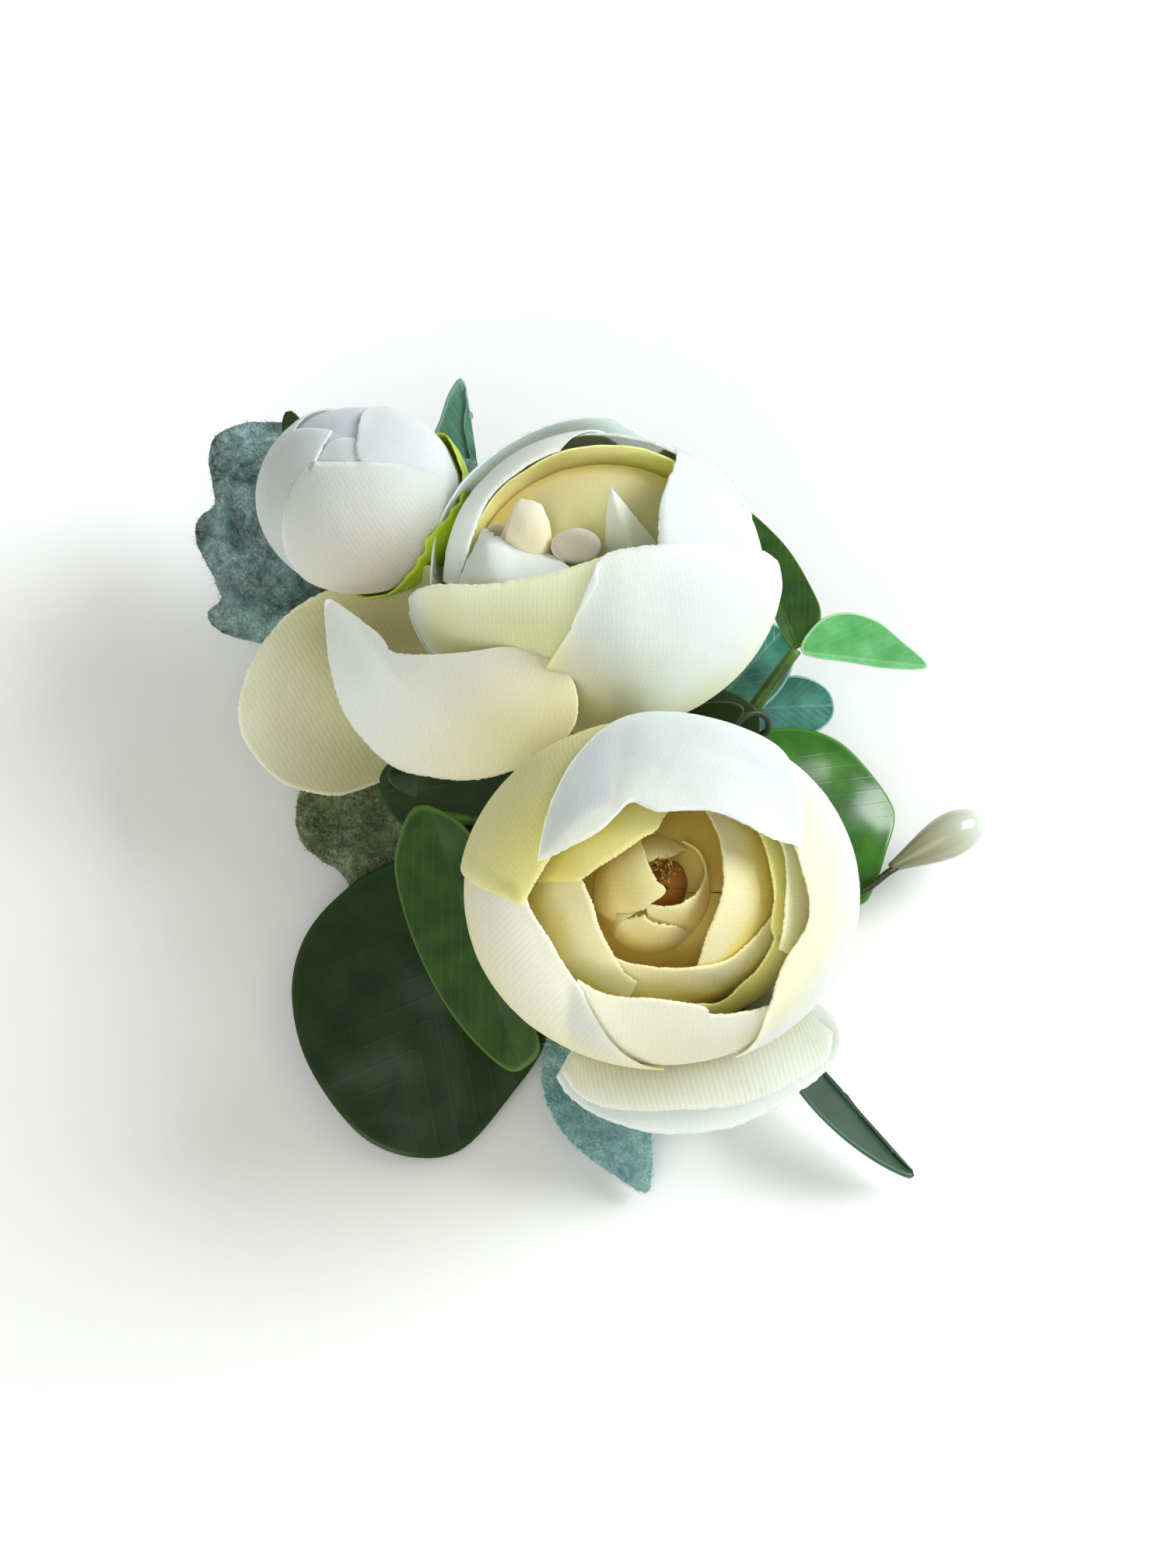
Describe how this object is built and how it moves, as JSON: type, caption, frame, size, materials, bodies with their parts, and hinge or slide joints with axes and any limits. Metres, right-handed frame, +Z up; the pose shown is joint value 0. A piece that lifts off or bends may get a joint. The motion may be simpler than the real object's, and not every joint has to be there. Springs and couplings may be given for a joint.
{
  "type": "flower hair clip",
  "caption": "Sprung steel alligator hair clip whose top jaw carries open fabric flowers, a bud and leaves set in glue on a felt pad.",
  "frame": {"origin": "centre of the lower jaw's flat underside, which lies on the table", "axes": "+X along the clip from its thumb tail towards the tips of the jaws, +Z up through the flowers, +Y to the left of +X"},
  "size_m": [0.0952, 0.0713, 0.0443],
  "materials": {
    "clip_steel": "satin",
    "spring_steel": "polished",
    "felt": "matte",
    "hot_glue": "satin",
    "rose_ivory": "matte",
    "rose_cream": "matte",
    "rose_stamens": "matte",
    "peony_white": "matte",
    "peony_lime": "matte",
    "bud_white": "matte",
    "bud_foam": "matte",
    "calyx_green": "satin",
    "plush_teal": "matte",
    "plush_olive": "matte",
    "leaf_dark": "satin",
    "leaf_green": "satin",
    "leaf_bright": "satin",
    "leaf_glaucous": "matte",
    "stem_green": "satin",
    "pearl": "gloss",
    "floral_wire": "satin"
  },
  "bodies": {
    "lower_jaw_body": {"lower_jaw": "clip_steel", "hinge_pin": "clip_steel"},
    "flower_jaw_body": {"blade_leaf_right": "leaf_dark", "blade_leaf_top": "leaf_dark", "bud_calyx": "calyx_green", "bud_core": "bud_foam", "bud_petal_1": "bud_white", "bud_petal_2": "bud_white", "bud_petal_3": "bud_white", "bud_petal_4": "bud_white", "dark_leaf": "leaf_dark", "eucalyptus": "leaf_glaucous", "felt_pad": "felt", "filler_leaf_1": "leaf_dark", "filler_leaf_2": "leaf_dark", "floral_wire": "floral_wire", "folded_leaf": "leaf_dark", "glue_mound": "hot_glue", "lambs_ear_bottom": "plush_teal", "lambs_ear_left": "plush_teal", "lambs_ear_lower": "plush_olive", "pearl_bud": "pearl", "pearl_wire": "floral_wire", "peony_calyx": "calyx_green", "peony_heart": "peony_lime", "peony_inner_petal_1": "peony_lime", "peony_inner_petal_2": "peony_lime", "peony_inner_petal_3": "peony_lime", "peony_loose_petal_1": "peony_lime", "peony_loose_petal_2": "peony_white", "peony_outer_petal_1": "peony_white", "peony_outer_petal_2": "peony_white", "peony_outer_petal_3": "peony_white", "peony_outer_petal_4": "peony_white", "peony_outer_petal_5": "peony_white", "right_leaf": "leaf_green", "rose_calyx": "calyx_green", "rose_collar_petal_1": "rose_ivory", "rose_collar_petal_2": "rose_ivory", "rose_heart_petal_1": "rose_cream", "rose_heart_petal_2": "rose_cream", "rose_inner_petal_1": "rose_cream", "rose_inner_petal_2": "rose_cream", "rose_inner_petal_3": "rose_cream", "rose_middle_petal_1": "rose_cream", "rose_middle_petal_2": "rose_cream", "rose_middle_petal_3": "rose_cream", "rose_middle_petal_4": "rose_cream", "rose_outer_petal_1": "rose_ivory", "rose_outer_petal_2": "rose_ivory", "rose_outer_petal_3": "rose_ivory", "rose_outer_petal_4": "rose_ivory", "rose_outer_petal_5": "rose_ivory", "rose_stamens": "rose_stamens", "round_leaf": "leaf_dark", "sprig_leaf_1": "leaf_dark", "sprig_leaf_2": "leaf_bright", "sprig_stem": "stem_green", "torsion_spring": "spring_steel", "upper_jaw": "clip_steel"}
  },
  "joints": [
    {"name": "jaw_open", "type": "hinge", "parent": "lower_jaw_body", "child": "flower_jaw_body", "pos_m": [-0.012, 0, 0.0036], "axis": [0, -1, 0], "range_deg": [0, 20], "stiffness_Nm_per_rad": 0.1, "springref_deg": -40.11, "deforming": ["torsion_spring"]}
  ]
}
